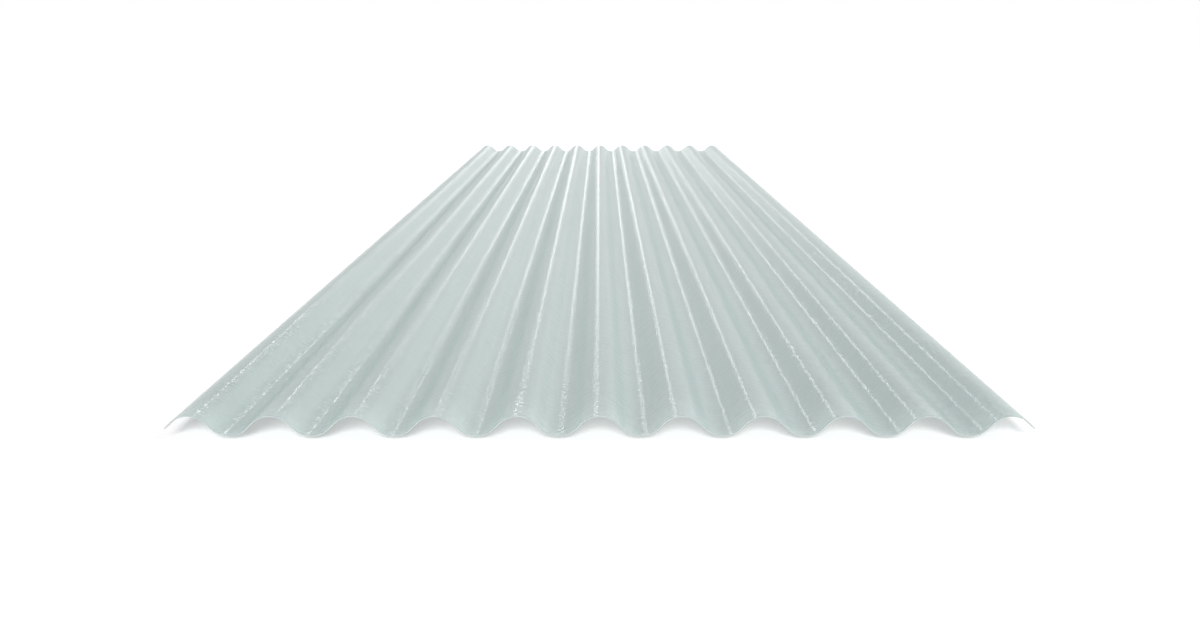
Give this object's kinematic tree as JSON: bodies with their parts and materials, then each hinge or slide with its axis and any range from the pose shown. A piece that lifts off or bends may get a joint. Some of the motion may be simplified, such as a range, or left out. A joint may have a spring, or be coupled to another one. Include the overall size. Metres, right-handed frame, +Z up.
{
  "type": "corrugated roof sheet",
  "caption": "Pale grey-green corrugated glass-fibre polyester roof sheet, one moulded piece with even round waves along its length, lapped over its neighbours and fixed to purlins.",
  "frame": {"origin": "on the floor plane under the centre crest, halfway along the sheet", "axes": "+X across the waves, +Y along the waves towards the far end of the picture, +Z up"},
  "size_m": [0.805, 3, 0.0198],
  "materials": {
    "polyester": "satin"
  },
  "bodies": {
    "root": {"roof_sheet": "polyester"}
  },
  "joints": []
}
